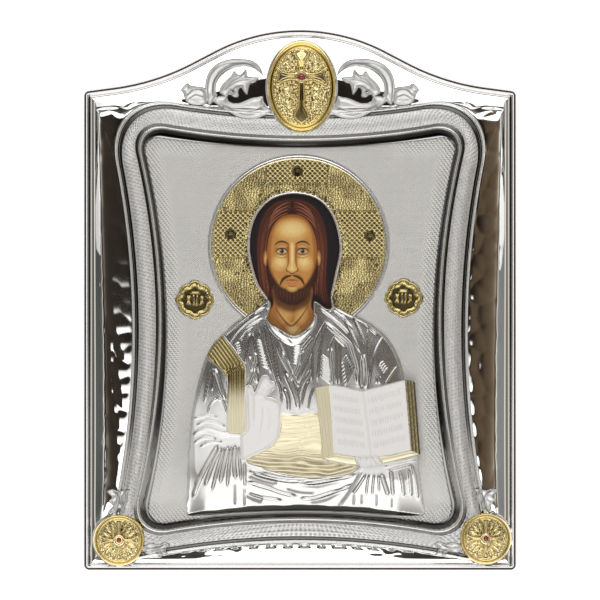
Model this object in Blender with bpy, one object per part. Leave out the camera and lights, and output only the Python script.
"""Icon panel: an arched wooden board that carries a pressed silver frame, a painted picture under
a relief cover with an opening for the face, three gilt medallions and three set stones.

The panel lies on its back. X runs across it, Y towards the arch and Z out of its face; the origin
is at the middle of the underside. Tables are in millimetres, meshes in metres. Shapes taken from
the layout drawing use its own units through at(); one drawing unit is DRAFT millimetres.
"""

import math

import bpy
import numpy as np
from mathutils import Vector
from mathutils.bvhtree import BVHTree
from mathutils.geometry import delaunay_2d_cdt

MM = 0.001

# ---- driving dimensions, millimetres ----
WIDTH = 200.0
HEIGHT = 250.0
BOARD_THICK = 10.0
BOARD_ROUND = 1.6
GAP = 0.3

CROWN_RADIUS = 85.0
CROWN_ANGLE = math.radians(27.5)
CROWN_RUN = 12.2
SHOULDER_RADIUS = 108.7
SHOULDER_ANGLE = math.radians(7.6)
CORNER_RADIUS = 2.4

FRAME_INSET = 1.2
PICTURE_THICK = 1.0
COVER_BASE = BOARD_THICK + GAP + PICTURE_THICK + GAP
GROUND = 13.0

# A waisted rounded outline: half width at the waist, waist height, side bow, top and bottom lines
# with their bows, and the radii of the upper and lower corners.
BORDER = dict(w0=76.2, y0=-14.3, cs=1.24e-3, yt=85.3, ct=1.39e-3, yb=-110.8, cb=1.39e-3, rt=36.0, rb=16.0)
LIP = dict(w0=64.5, y0=-10.6, cs=1.50e-3, yt=73.8, ct=1.41e-3, yb=-100.9, cb=1.46e-3, rt=16.5, rb=20.0)
PANEL = dict(w0=61.1, y0=-16.6, cs=1.40e-3, yt=70.2, ct=1.09e-3, yb=-97.9, cb=1.30e-3, rt=8.5, rb=11.0)

# samples along each side of a loop: right side, top, left side, bottom, and each corner
N_SIDE, N_TOP, N_BOTTOM, N_CORNER = 20, 30, 20, 6

OVAL_CENTRE, OVAL_HALF = (0.8, 98.0), (15.9, 21.2)
ROUND_CENTRES, ROUND_RADIUS = {"left": (-83.2, -110.4), "right": (85.4, -109.7)}, 11.9
SEAT_INSET, SEAT_STEP = -0.4, 0.5
OVAL_SEAT, ROUND_SEAT = 18.4, 17.6
STONE_RADIUS = {"top": 1.85, "left": 1.45, "right": 1.45}

HALO_CENTRE, HALO_RADIUS = (-0.6, 25.3), 42.1

DRAFT = 0.4605
DRAFT_CENTRE = (299.85, 299.0)


def at(u, v):
    """A point of the layout drawing, in millimetres from the middle of the panel."""
    return ((u - DRAFT_CENTRE[0]) * DRAFT, (DRAFT_CENTRE[1] - v) * DRAFT)


# ---- outlines ----
def arch_height(x, inset):
    """Height of the arched top edge at x, for the outline moved inwards by inset."""
    x = abs(x)
    a, b = CROWN_ANGLE, SHOULDER_ANGLE
    centre_y = HEIGHT / 2 - CROWN_RADIUS
    p1 = np.array([CROWN_RADIUS * math.sin(a), centre_y + CROWN_RADIUS * math.cos(a)])
    p2 = p1 + CROWN_RUN * np.array([math.cos(a), -math.sin(a)])
    c2 = p2 + SHOULDER_RADIUS * np.array([math.sin(a), math.cos(a)])
    p3 = c2 - SHOULDER_RADIUS * np.array([math.sin(b), math.cos(b)])
    na, nb = np.array([math.sin(a), math.cos(a)]), np.array([math.sin(b), math.cos(b)])
    q1, q2, q3 = p1 - inset * na, p2 - inset * na, p3 - inset * nb
    if x < q1[0]:
        return centre_y + math.sqrt((CROWN_RADIUS - inset) ** 2 - x * x)
    if x < q2[0]:
        return q1[1] - (x - q1[0]) * math.tan(a)
    if x < q3[0]:
        return c2[1] - math.sqrt((SHOULDER_RADIUS + inset) ** 2 - (x - c2[0]) ** 2)
    return q3[1] - (x - q3[0]) * math.tan(b)


def outline(inset):
    """The board's outline moved inwards, counter-clockwise from the lower right corner."""
    hw, low = WIDTH / 2 - inset, -HEIGHT / 2 + inset
    r = max(CORNER_RADIUS - inset, 0.3)
    cy_top = arch_height(hw - r, inset) - r / math.cos(SHOULDER_ANGLE)
    cy_low = low + r
    sweep = math.pi / 2 - SHOULDER_ANGLE
    points = []
    for i in range(N_SIDE):
        points.append((hw, cy_low + (cy_top - cy_low) * i / N_SIDE))
    for i in range(N_CORNER):
        t = sweep * i / N_CORNER
        points.append((hw - r + r * math.cos(t), cy_top + r * math.sin(t)))
    x_end = hw - r + r * math.sin(SHOULDER_ANGLE)
    for i in range(N_TOP):
        x = x_end * (1 - 2 * i / N_TOP)
        points.append((x, arch_height(x, inset)))
    for i in range(N_CORNER):
        t = math.pi - sweep + sweep * i / N_CORNER
        points.append((-hw + r + r * math.cos(t), cy_top + r * math.sin(t)))
    for i in range(N_SIDE):
        points.append((-hw, cy_top + (cy_low - cy_top) * i / N_SIDE))
    for i in range(N_CORNER):
        t = math.pi + 0.5 * math.pi * i / N_CORNER
        points.append((-hw + r + r * math.cos(t), cy_low + r * math.sin(t)))
    for i in range(N_BOTTOM):
        points.append((-hw + r + 2 * (hw - r) * i / N_BOTTOM, low))
    for i in range(N_CORNER):
        t = 1.5 * math.pi + 0.5 * math.pi * i / N_CORNER
        points.append((hw - r + r * math.cos(t), cy_low + r * math.sin(t)))
    return np.array(points)


def waisted(shape, grow):
    """A waisted loop moved outwards by grow, sampled to match outline()."""
    w0, yt, yb = shape["w0"] + grow, shape["yt"] + grow, shape["yb"] - grow
    rt, rb = shape["rt"] + grow, shape["rb"] + grow

    def side(y):
        return w0 + shape["cs"] * (y - shape["y0"]) ** 2

    def top(x):
        return yt + shape["ct"] * x * x

    def bottom(x):
        return yb - shape["cb"] * x * x

    def corner(edge):
        x, y = w0, edge(w0)
        for _ in range(30):
            x = side(y)
            y = edge(x)
        return np.array([x, y])

    tr, br = corner(top), corner(bottom)

    def fillet(p0, c, p3, t):
        p1, p2 = p0 + 0.5523 * (c - p0), p3 + 0.5523 * (c - p3)
        return (1 - t) ** 3 * p0 + 3 * t * (1 - t) ** 2 * p1 + 3 * t * t * (1 - t) * p2 + t ** 3 * p3

    mirror = np.array([-1.0, 1.0])
    s_top = np.array([side(tr[1] - rt), tr[1] - rt])
    t_end = np.array([tr[0] - rt, top(tr[0] - rt)])
    s_low = np.array([side(br[1] + rb), br[1] + rb])
    b_end = np.array([br[0] - rb, bottom(br[0] - rb)])
    points = []
    for i in range(N_SIDE):
        y = s_low[1] + (s_top[1] - s_low[1]) * i / N_SIDE
        points.append((side(y), y))
    for i in range(N_CORNER):
        points.append(tuple(fillet(s_top, tr, t_end, i / N_CORNER)))
    for i in range(N_TOP):
        x = t_end[0] * (1 - 2 * i / N_TOP)
        points.append((x, top(x)))
    for i in range(N_CORNER):
        points.append(tuple(fillet(t_end * mirror, tr * mirror, s_top * mirror, i / N_CORNER)))
    for i in range(N_SIDE):
        y = s_top[1] + (s_low[1] - s_top[1]) * i / N_SIDE
        points.append((-side(y), y))
    for i in range(N_CORNER):
        points.append(tuple(fillet(s_low * mirror, br * mirror, b_end * mirror, i / N_CORNER)))
    for i in range(N_BOTTOM):
        x = -b_end[0] + 2 * b_end[0] * i / N_BOTTOM
        points.append((x, bottom(x)))
    for i in range(N_CORNER):
        points.append(tuple(fillet(b_end, br, s_low, i / N_CORNER)))
    return np.array(points)


def ellipse(centre, half, count):
    t = 2 * np.pi * np.arange(count) / count
    return np.stack([centre[0] + half[0] * np.cos(t), centre[1] + half[1] * np.sin(t)], axis=1)


def spline(controls, per_span, closed=False):
    """A smooth curve through control points (Catmull-Rom)."""
    p = [np.array(c, float) for c in controls]
    n = len(p)
    out = []
    for i in range(n if closed else n - 1):
        if closed:
            a, b, c, d = p[i - 1], p[i], p[(i + 1) % n], p[(i + 2) % n]
        else:
            a, b, c, d = p[max(i - 1, 0)], p[i], p[i + 1], p[min(i + 2, n - 1)]
        for j in range(per_span):
            t = j / per_span
            out.append(0.5 * (2 * b + (c - a) * t + (2 * a - 5 * b + 4 * c - d) * t * t + (3 * b - a - 3 * c + d) * t ** 3))
    if not closed:
        out.append(p[-1])
    return np.array(out)


# ---- measuring against curves ----
def line_distance(xy, line, closed=False):
    """Distance from each point to a polyline, and how far along it the nearest place is (0 to 1)."""
    ends = np.roll(line, -1, axis=0) if closed else line[1:]
    starts = line if closed else line[:-1]
    best = np.full(len(xy), 1e9)
    along = np.zeros(len(xy))
    for i, (a, b) in enumerate(zip(starts, ends)):
        ab = b - a
        t = np.clip(((xy - a) @ ab) / max(float(ab @ ab), 1e-12), 0, 1)
        d = np.linalg.norm(xy - (a + t[:, None] * ab), axis=1)
        near = d < best
        best[near] = d[near]
        along[near] = (i + t[near]) / len(starts)
    return best, along


def inside(xy, polygon):
    result = np.zeros(len(xy), bool)
    x, y = xy[:, 0], xy[:, 1]
    for (x0, y0), (x1, y1) in zip(polygon, np.roll(polygon, -1, axis=0)):
        if y0 != y1:
            result ^= ((y0 > y) != (y1 > y)) & (x < (x1 - x0) * (y - y0) / (y1 - y0) + x0)
    return result


def depth_in(xy, polygon):
    """Distance to the polygon's edge for the points inside it, 0 outside."""
    within = inside(xy, polygon)
    depth = np.zeros(len(xy))
    if within.any():
        depth[within] = line_distance(xy[within], polygon, closed=True)[0]
    return depth


def smooth(t):
    t = np.clip(t, 0, 1)
    return t * t * (3 - 2 * t)


# ---- solids ----
def material(name, colour, roughness, metallic):
    mat = bpy.data.materials.new(name)
    mat.use_nodes = True
    shader = mat.node_tree.nodes["Principled BSDF"]
    shader.inputs["Base Color"].default_value = (*colour, 1)
    shader.inputs["Roughness"].default_value = roughness
    shader.inputs["Metallic"].default_value = metallic
    return mat


def add_object(name, verts, faces, mat, sharp=35.0):
    mesh = bpy.data.meshes.new(name)
    mesh.from_pydata([tuple(float(c) * MM for c in v) for v in verts], [], faces)
    mesh.validate()
    mesh.shade_smooth()
    mesh.set_sharp_from_angle(angle=math.radians(sharp))
    mesh.materials.append(mat)
    obj = bpy.data.objects.new(name, mesh)
    bpy.context.scene.collection.objects.link(obj)
    obj.parent = root
    return obj


class Plan:
    """Corner points and crease lines of a relief, seen from the front."""

    def __init__(self):
        self.points, self.edges, self.index = [], [], {}

    def point(self, p):
        key = (round(float(p[0]), 3), round(float(p[1]), 3))
        if key not in self.index:
            self.index[key] = len(self.points)
            self.points.append(Vector(key))
        return self.index[key]

    def line(self, points, closed=False, keep=None):
        keep = np.ones(len(points), bool) if keep is None else keep
        count = len(points)
        for i in range(count if closed else count - 1):
            j = (i + 1) % count
            if keep[i] and keep[j]:
                a, b = self.point(points[i]), self.point(points[j])
                if a != b:
                    self.edges.append((a, b))

    def triangles(self, outer, holes):
        verts, _, faces, *_ = delaunay_2d_cdt(self.points, self.edges, [], 0, 1e-4)
        xy = np.array([tuple(v) for v in verts])
        tris = np.array([tuple(f) for f in faces])
        middle = xy[tris].mean(axis=1)
        keep = inside(middle, outer)
        for hole in holes:
            keep &= ~inside(middle, hole)
        tris = tris[keep]
        used = np.unique(tris)
        renumber = np.full(len(xy), -1)
        renumber[used] = np.arange(len(used))
        xy, tris = xy[used], renumber[tris]
        a, b, c = xy[tris[:, 0]], xy[tris[:, 1]], xy[tris[:, 2]]
        area = (b[:, 0] - a[:, 0]) * (c[:, 1] - a[:, 1]) - (b[:, 1] - a[:, 1]) * (c[:, 0] - a[:, 0])
        tris[area < 0] = tris[area < 0][:, ::-1]
        return xy, tris


def relief_solid(name, plan, outer, holes, height, base, mat, sharp=35.0):
    """A solid with a flat back at base, upright edges, and the relief height(xy) on its front."""
    xy, tris = plan.triangles(outer, holes)
    z = height(xy)
    count = {}
    for t in tris:
        for k in range(3):
            e = (int(t[k]), int(t[(k + 1) % 3]))
            count[e] = count.get(e, 0) + 1
    rim = [e for e in count if (e[1], e[0]) not in count]
    back = Plan()
    number = {}
    for a, b in rim:
        ia, ib = back.point(xy[a]), back.point(xy[b])
        number[a], number[b] = ia, ib
        back.edges.append((ia, ib))
    bxy, btris = back.triangles(outer, holes)
    lookup = {(round(float(p[0]), 3), round(float(p[1]), 3)): i for i, p in enumerate(bxy)}
    low = {a: len(xy) + lookup[(round(float(xy[a][0]), 3), round(float(xy[a][1]), 3))] for a in number}
    verts = [(x, y, zz) for (x, y), zz in zip(xy, z)] + [(x, y, base) for x, y in bxy]
    faces = [tuple(int(i) for i in t) for t in tris]
    faces += [tuple(int(i) + len(xy) for i in t[::-1]) for t in btris]
    for a, b in rim:
        faces.append((b, a, low[a], low[b]))
    return add_object(name, verts, faces, mat, sharp)


def stacked_solid(name, loops, mat, sharp=35.0):
    """A solid between matched loops given as (points, z), closed by a flat face at each end."""
    verts, faces = [], []
    n = len(loops[0][0])
    for points, z in loops:
        verts += [(p[0], p[1], z) for p in points]
    for k in range(len(loops) - 1):
        for i in range(n):
            j = (i + 1) % n
            faces.append((k * n + i, k * n + j, (k + 1) * n + j, (k + 1) * n + i))
    faces.append(tuple(range(n))[::-1])
    faces.append(tuple((len(loops) - 1) * n + i for i in range(n)))
    return add_object(name, verts, faces, mat, sharp)


# ---- the scene ----
for old in list(bpy.data.objects):
    bpy.data.objects.remove(old, do_unlink=True)

root = bpy.data.objects.new("icon_panel", None)
bpy.context.scene.collection.objects.link(root)

lacquer = material("mahogany_lacquer", (0.060, 0.018, 0.016), 0.28, 0.0)
silver = material("polished_silver", (0.88, 0.87, 0.85), 0.12, 1.0)
relief_silver = material("relief_silver", (0.86, 0.85, 0.82), 0.30, 1.0)
gilt = material("gilt_silver", (0.90, 0.74, 0.34), 0.18, 1.0)
paint = material("painted_panel", (0.30, 0.12, 0.05), 0.45, 0.0)
gem = material("red_stone", (0.45, 0.01, 0.03), 0.08, 0.0)

# ---- backboard ----
stacked_solid(
    "backboard",
    [
        (outline(0.8), 0.0),
        (outline(0.0), 0.8),
        (outline(0.0), BOARD_THICK - BOARD_ROUND),
        (outline(BOARD_ROUND * 0.29), BOARD_THICK - BOARD_ROUND * 0.29),
        (outline(BOARD_ROUND), BOARD_THICK),
    ],
    lacquer,
)

# ---- silver frame ----
# Each ring of the pressed sheet: its loop, and its height.
crease, border_edge = outline(9.4), waisted(BORDER, 1.0)
band_out, band_in = waisted(BORDER, -1.2), waisted(LIP, 1.4)
RINGS = [
    (outline(FRAME_INSET), 12.6),
    (outline(2.0), 13.7),
    (outline(2.8), 12.5),
    (outline(3.8), 13.5),
    (outline(5.4), 13.7),
    (outline(8.0), 16.4),
    (crease, 15.9),
    (0.5 * crease + 0.5 * border_edge, 17.1),
    (border_edge, 17.9),
    (waisted(BORDER, 0.0), 19.3),
    (band_out, 18.2),
    (0.5 * band_out + 0.5 * band_in, 18.9),
    (band_in, 18.2),
    (waisted(LIP, 0.2), 19.1),
    (waisted(LIP, -0.8), 17.9),
    (0.45 * waisted(LIP, -0.8) + 0.55 * waisted(PANEL, GAP + 0.4), 14.5),
    (waisted(PANEL, GAP), 13.2),
]

SEATS = [(ellipse(OVAL_CENTRE, (OVAL_HALF[0] - SEAT_INSET, OVAL_HALF[1] - SEAT_INSET), 28),
          ellipse(OVAL_CENTRE, (OVAL_HALF[0] - SEAT_INSET + SEAT_STEP, OVAL_HALF[1] - SEAT_INSET + SEAT_STEP), 28),
          OVAL_SEAT)]
for centre in ROUND_CENTRES.values():
    SEATS.append((ellipse(centre, (ROUND_RADIUS - SEAT_INSET,) * 2, 20),
                  ellipse(centre, (ROUND_RADIUS - SEAT_INSET + SEAT_STEP,) * 2, 20), ROUND_SEAT))

# Raised leaves of the left scroll, on the drawing: the right one is its mirror image.
SCROLL_LEAVES = [
    # hooked stem that arches over
    [(209, 98), (207, 84), (211, 74), (220, 65), (233, 60), (248, 59), (257, 63), (263, 73), (255, 68), (246, 65), (234, 66), (224, 70), (216, 80), (215, 94)],
    # broad lower curl
    [(221, 97), (227, 92), (234, 101), (243, 102), (253, 97), (262, 96), (266, 104), (268, 110), (258, 115), (246, 115), (233, 111), (225, 106)],
    # palmette with its points
    [(219, 86), (228, 80), (232, 72), (239, 74), (246, 69), (247, 76), (258, 77), (252, 84), (246, 87), (246, 93), (240, 88), (235, 94), (229, 89), (224, 91)],
    # left lobe
    [(185, 100), (184, 92), (190, 88), (199, 86), (206, 89), (207, 97), (203, 103), (194, 104.5)],
]
# Leaf sprays at the lower left corner, mirrored at the right.
CORNER_LEAVES = [
    [(109, 490.5), (118, 488), (127, 489), (131, 496), (128, 507), (124, 513), (119, 505), (112, 506), (114, 498)],
    [(146, 549), (152, 542.5), (162, 543), (168, 548), (171, 556), (163, 557), (153, 556.5)],
]
LEAF_RISE = 1.0


def leaf_outlines():
    leaves = []
    for controls in SCROLL_LEAVES + CORNER_LEAVES:
        left = np.array([at(u, v) for u, v in controls])
        leaves += [left, (left * [-1, 1])[::-1]]
    return leaves


def base_surface(rings):
    verts = [(p[0], p[1], z) for points, z in rings for p in points]
    n = len(rings[0][0])
    faces = []
    for k in range(len(rings) - 1):
        for i in range(n):
            j = (i + 1) % n
            faces += [(k * n + i, k * n + j, (k + 1) * n + j), (k * n + i, (k + 1) * n + j, (k + 1) * n + i)]
    return BVHTree.FromPolygons(verts, faces)


frame_skin = base_surface(RINGS)
LEAVES = leaf_outlines()


def frame_height(xy):
    z = np.empty(len(xy))
    for i, (x, y) in enumerate(xy):
        hit = frame_skin.ray_cast(Vector((x, y, 60)), Vector((0, 0, -1)))[0]
        if hit is None:
            hit = frame_skin.find_nearest(Vector((x, y, 15)))[0]
        z[i] = hit.z
    for leaf in LEAVES:
        z += LEAF_RISE * smooth(depth_in(xy, leaf) / 1.1)
    for seat, _, level in SEATS:
        z[inside(xy, seat * 1.0 + (seat - seat.mean(axis=0)) * 0.002)] = level
    return z


def shrunk(polygon, amount):
    """The polygon's edge moved inwards along its corner normals."""
    a, b = np.roll(polygon, 1, axis=0), np.roll(polygon, -1, axis=0)
    along = b - a
    along /= np.linalg.norm(along, axis=1)[:, None]
    normal = np.stack([-along[:, 1], along[:, 0]], axis=1)
    area = np.sum(polygon[:, 0] * b[:, 1] - b[:, 0] * polygon[:, 1])
    return polygon + normal * amount * (1 if area > 0 else -1)


plan = Plan()
for points, _ in RINGS:
    keep = np.ones(len(points), bool)
    for _, step, _ in SEATS:
        keep &= ~inside(points, step)
    for leaf in LEAVES:
        keep &= ~inside(points, leaf)
    plan.line(points, closed=True, keep=keep)
for seat, step, _ in SEATS:
    plan.line(seat, closed=True)
    plan.line(step, closed=True)
for leaf in LEAVES:
    clear = np.ones(len(leaf), bool)
    for _, step, _ in SEATS:
        clear &= ~inside(leaf, step)
    plan.line(leaf, closed=True, keep=clear)
    plan.line(shrunk(leaf, 1.1), closed=True, keep=clear)
relief_solid("silver_frame", plan, RINGS[0][0], [RINGS[-1][0]], frame_height, BOARD_THICK + GAP, silver, 30)

# ---- painted picture ----
picture_edge = waisted(PANEL, -1.0)
stacked_solid(
    "painted_picture",
    [(picture_edge, BOARD_THICK + GAP), (picture_edge, BOARD_THICK + GAP + PICTURE_THICK)],
    paint,
)

# ---- relief cover ----
OPENING = spline([at(u, v) for u, v in [
    (294.4, 193), (318, 199), (333, 218), (339, 247), (334, 275), (330, 295), (331, 306), (326, 307),
    (314, 300), (313, 318), (303, 330), (293, 334), (281, 328), (268, 319), (271, 304), (268, 297),
    (257, 279), (250, 247), (255, 218), (271, 199)]], 2, closed=True)[::-1]

FIGURE = np.array([at(u, v) for u, v in [
    (272, 292), (258, 305), (240, 317.5), (222, 334), (212, 345), (205, 358), (199, 378), (194, 402),
    (190.5, 423), (188.5, 450), (187.5, 475), (188, 505.5), (215, 505.4), (245, 504.6), (300, 505.8), (360, 506.6),
    (423, 509), (420.5, 482), (418.5, 462), (420.5, 454), (415, 381), (404.5, 378.5), (402, 366), (394, 347),
    (384, 333.5), (368, 321), (350, 311.5), (336, 304), (334, 296), (325, 285), (300, 280)]])[::-1]

BOOK = {
    "left_block": [(315, 387), (328.5, 384), (333.5, 452), (323, 458)],
    "left_page": [(328.5, 384), (345, 386), (363, 390), (371, 456), (353, 455), (333.5, 452)],
    "right_page": [(363, 390), (382, 385), (404.5, 379), (410.5, 449), (390, 454), (371, 456)],
    "right_block": [(404.5, 379), (414.5, 381), (420, 453.5), (410.5, 449)],
    "foot": [(323, 458), (333.5, 452), (353, 455), (371, 456), (390, 454), (410.5, 449), (420, 453.5), (386, 462), (368, 465), (345, 463)],
}
BOOK = {key: np.array([at(u, v) for u, v in value]) for key, value in BOOK.items()}
BOOK_RISE = {"left_block": 1.7, "left_page": 2.2, "right_page": 2.2, "right_block": 1.7, "foot": 1.5}
PALM = np.array([at(u, v) for u, v in [
    (241, 434), (247.5, 430), (247, 402), (244.5, 391), (247, 385.5), (251.5, 386), (254, 391), (258.5, 386), (260.5, 378),
    (264.5, 375), (269, 378), (274, 382), (273.5, 387), (268, 392), (277, 400), (280, 406), (280, 428), (275.5, 440),
    (266, 448), (249, 456), (241.5, 458.5)]])

# Drapery. A fan is a run of ridges between a first and a last guide curve, each guide through
# three points of the drawing; then the number of ridges, their half width and their rise.
FANS = [
    # shoulder band, neck to left shoulder
    ([(268, 301), (246, 312), (225, 332)], [(257, 322), (247, 332), (236, 347)], 4, 1.3, 0.9),
    # gilt shoulder band turning down the arm
    ([(221, 340), (229, 366), (230, 428)], [(237, 353), (242, 376), (242, 428)], 4, 0.9, 0.6),
    # left breast
    ([(250, 336), (248, 350), (245, 364)], [(253, 334), (257, 352), (260, 372)], 2, 1.1, 0.7),
    # long folds from the neck to the waist
    ([(266, 328), (272, 358), (281, 396)], [(280, 340), (289, 362), (298, 385)], 3, 1.1, 0.7),
    # right edge of the inner robe
    ([(313, 344), (307, 366), (293, 396)], [(324, 322), (318, 350), (313, 382)], 3, 1.1, 0.7),
    # cloak over the right shoulder
    ([(326, 324), (350, 343), (358, 381)], [(372, 325), (370, 350), (369, 380)], 5, 1.2, 0.8),
    ([(383, 338), (376, 352), (371, 368)], [(397, 366), (390, 375), (385, 383)], 2, 1.1, 0.7),
    # left sleeve, upper arm
    ([(209, 372), (206, 386), (204, 402)], [(216, 370), (220, 384), (226, 400)], 3, 1.2, 0.7),
    # left sleeve, below the cuff
    ([(214, 447), (204, 470), (193, 494)], [(240, 446), (241, 464), (243, 484)], 6, 1.2, 0.9),
    # cuff
    ([(196, 434), (212, 429), (238, 435)], [(194, 442), (210, 436), (232, 440)], 2, 1.1, 0.7),
    # gilt sash
    ([(284, 420), (300, 421), (316, 419)], [(252, 461), (290, 473), (350, 467)], 6, 1.3, 0.7),
    # robe below the sash
    ([(248, 471), (290, 482), (346, 474)], [(248, 492), (290, 498), (340, 488)], 3, 1.5, 0.8),
    # cloak below the book
    ([(364, 473), (358, 482), (351, 493)], [(410, 466), (414, 480), (417, 496)], 6, 1.3, 0.9),
]


def fan_ridges():
    ridges = []
    for first, last, number, half, rise in FANS:
        a, b = np.array([at(*p) for p in first]), np.array([at(*p) for p in last])
        for i in range(number):
            guide = a + (b - a) * (i / (number - 1))
            ridges.append((spline(guide, 2), half, rise))
    return ridges


RIDGES = fan_ridges()
CARTOUCHES = [at(194.7, 298.8), at(403.6, 297.0)]
CARTOUCHE_HALF, CARTOUCHE_LOBE = 8.6, 0.7


def cartouche(centre, grow=0.0):
    t = 2 * np.pi * np.arange(32) / 32
    r = CARTOUCHE_HALF + grow + CARTOUCHE_LOBE * np.cos(4 * t)
    return np.stack([centre[0] + r * np.cos(t), centre[1] + r * np.sin(t)], axis=1)


def cover_height(xy):
    z = np.full(len(xy), GROUND)
    r = np.hypot(xy[:, 0] - HALO_CENTRE[0], xy[:, 1] - HALO_CENTRE[1])
    z += 0.7 * smooth((HALO_RADIUS - r) / 0.5)
    z += 0.6 * np.clip(1 - np.abs(r - (HALO_RADIUS - 1.0)) / 0.9, 0, 1)
    for centre in CARTOUCHES:
        z += 0.9 * smooth(depth_in(xy, cartouche(centre)) / 0.9)
    body = depth_in(xy, FIGURE)
    rise = 2.2 * smooth(body / 1.2) + 1.3 * smooth(body / 18)
    ridge = np.zeros(len(xy))
    for line, half, height in RIDGES:
        d, t = line_distance(xy, line)
        ends = np.clip(np.minimum(t, 1 - t) / 0.12, 0.35, 1)
        ridge = np.maximum(ridge, height * ends * np.clip(1 - d / half, 0, 1))
    rise += ridge * smooth(body / 1.5)
    for key, polygon in BOOK.items():
        d = depth_in(xy, polygon)
        inner = inside(xy, polygon) | (line_distance(xy, polygon, closed=True)[0] < 0.02)
        level = 3.5 + BOOK_RISE[key]
        if key.endswith("page"):
            spine = line_distance(xy, np.array([at(363, 390), at(371, 456)]))[0]
            level = level - 0.9 * (1 - smooth(spine / 12))
        rise = np.where(inner, np.maximum(rise, level), rise)
    palm = depth_in(xy, PALM)
    rise = np.where(palm > 0, np.maximum(rise, 3.6 + 1.3 * smooth(palm / 2.0)), rise)
    z += rise
    lip = line_distance(xy, OPENING, closed=True)[0]
    z += 0.5 * np.clip(1 - lip / 1.6, 0, 1) * (body < 3)
    return z


cover_edge = waisted(PANEL, 0.0)
plan = Plan()
plan.line(cover_edge, closed=True)
plan.line(OPENING, closed=True)


def outside_all(points, polygons, margin=0.0):
    keep = np.ones(len(points), bool)
    for polygon in polygons:
        keep &= ~inside(points, polygon)
        if margin:
            keep &= line_distance(points, polygon, closed=True)[0] > margin
    return keep


figure_in = shrunk(FIGURE, 1.2)
for inset in (0.0, 0.5, 1.0, 1.9):
    ring = ellipse(HALO_CENTRE, (HALO_RADIUS - inset,) * 2, 72)
    plan.line(ring, closed=True, keep=outside_all(ring, [FIGURE]))
for centre in CARTOUCHES:
    plan.line(cartouche(centre), closed=True)
    plan.line(cartouche(centre, -0.9), closed=True)
plan.line(FIGURE, closed=True, keep=outside_all(FIGURE, [OPENING]))
plan.line(figure_in, closed=True, keep=outside_all(figure_in, [OPENING], 0.5))
book_edges = list(BOOK.values())
for polygon in book_edges:
    plan.line(polygon, closed=True)
plan.line(PALM, closed=True)
plan.line(shrunk(PALM, 1.0), closed=True)
blocks = book_edges + [PALM, OPENING]
for line, half, _ in RIDGES:
    along = np.gradient(line, axis=0)
    along /= np.linalg.norm(along, axis=1)[:, None]
    normal = np.stack([-along[:, 1], along[:, 0]], axis=1)
    for side in (-half, 0.0, half):
        points = line + side * normal
        keep = outside_all(points, blocks, 0.6) & inside(points, figure_in)
        plan.line(points, keep=keep)
relief_solid("icon_cover", plan, cover_edge, [OPENING], cover_height, COVER_BASE, relief_silver, 25)


# ---- medallions ----
def medallion(name, centre, half, seat, arms, stone_at, stone_radius, count):
    """A dished plate with a raised rim and a flared cross, and a collar for the stone."""
    base = seat + GAP
    floor, rim, cross = base + 1.3, base + 2.3, base + 2.1

    def loop(inset, n=count):
        return ellipse(centre, (half[0] - inset, half[1] - inset), n)

    def arm(direction, length, narrow, flare):
        d = np.array(direction, float)
        n = np.array([-d[1], d[0]])
        c = np.array(stone_at)
        root_at = stone_radius + 1.3
        return np.array([c + d * root_at - n * narrow, c + d * (length * 0.65) - n * narrow * 1.15, c + d * length - n * flare,
                         c + d * (length + 0.5), c + d * length + n * flare, c + d * (length * 0.65) + n * narrow * 1.15,
                         c + d * root_at + n * narrow])

    arm_shapes = [arm(*a) for a in arms]
    collar_out, collar_in = stone_radius + 0.9, stone_radius + GAP + 0.05

    def height(xy):
        q = np.hypot((xy[:, 0] - centre[0]) / half[0], (xy[:, 1] - centre[1]) / half[1])
        inset = (1 - q) * min(half)
        z = floor + (rim - floor) * (1 - smooth((inset - 1.3) / 0.9))
        z = np.where(inset < 0.75, base + 1.1 + (rim - base - 1.1) * smooth(inset / 0.7), z)
        for shape in arm_shapes:
            z = np.maximum(z, floor + (cross - floor) * smooth(depth_in(xy, shape) / 0.5))
        r = np.hypot(xy[:, 0] - stone_at[0], xy[:, 1] - stone_at[1])
        z = np.where(r < collar_out + 0.35, np.maximum(z, floor + (rim - floor) * smooth((collar_out + 0.3 - r) / 0.3)), z)
        return np.where(r < collar_in, floor, z)

    plan = Plan()
    for inset in (0.0, 0.7, 1.3, 2.2):
        plan.line(loop(inset), closed=True)
    for shape in arm_shapes:
        plan.line(shape, closed=True)
        plan.line(shrunk(shape, 0.5), closed=True)
    for r in (collar_in - 0.08, collar_in + 0.02, collar_out, collar_out + 0.3):
        plan.line(ellipse(stone_at, (r, r), 16), closed=True)
    relief_solid(name, plan, loop(0.0), [], height, base, gilt, 30)
    return floor


def stone(name, centre, radius, base):
    """A round cut stone: girdle, crown facets and a small table."""
    loops = []
    for r, z in ((0.86, 0.0), (1.0, 0.35), (1.0, 0.55), (0.72, 0.95), (0.42, 1.12)):
        loops.append((ellipse(centre, (radius * r, radius * r), 12), base + z * radius))
    obj = stacked_solid(name, loops, gem, 20)
    return obj


oval_stone_at = at(301.4, 76.2)
floor = medallion(
    "oval_medallion", OVAL_CENTRE, OVAL_HALF, OVAL_SEAT,
    [((0, 1), 11.6, 1.1, 4.3), ((0, -1), 20.0, 1.5, 2.6), ((1, 0), 11.4, 1.1, 3.2), ((-1, 0), 11.4, 1.1, 3.2)],
    oval_stone_at, STONE_RADIUS["top"], 40)
stone("stone_top", oval_stone_at, STONE_RADIUS["top"], floor + GAP)
for side, centre in ROUND_CENTRES.items():
    floor = medallion(
        "corner_medallion_" + side, centre, (ROUND_RADIUS,) * 2, ROUND_SEAT,
        [((0, 1), 8.2, 0.9, 2.9), ((0, -1), 8.2, 0.9, 2.9), ((1, 0), 8.2, 0.9, 2.9), ((-1, 0), 8.2, 0.9, 2.9)],
        centre, STONE_RADIUS[side], 32)
    stone("stone_" + side, centre, STONE_RADIUS[side], floor + GAP)
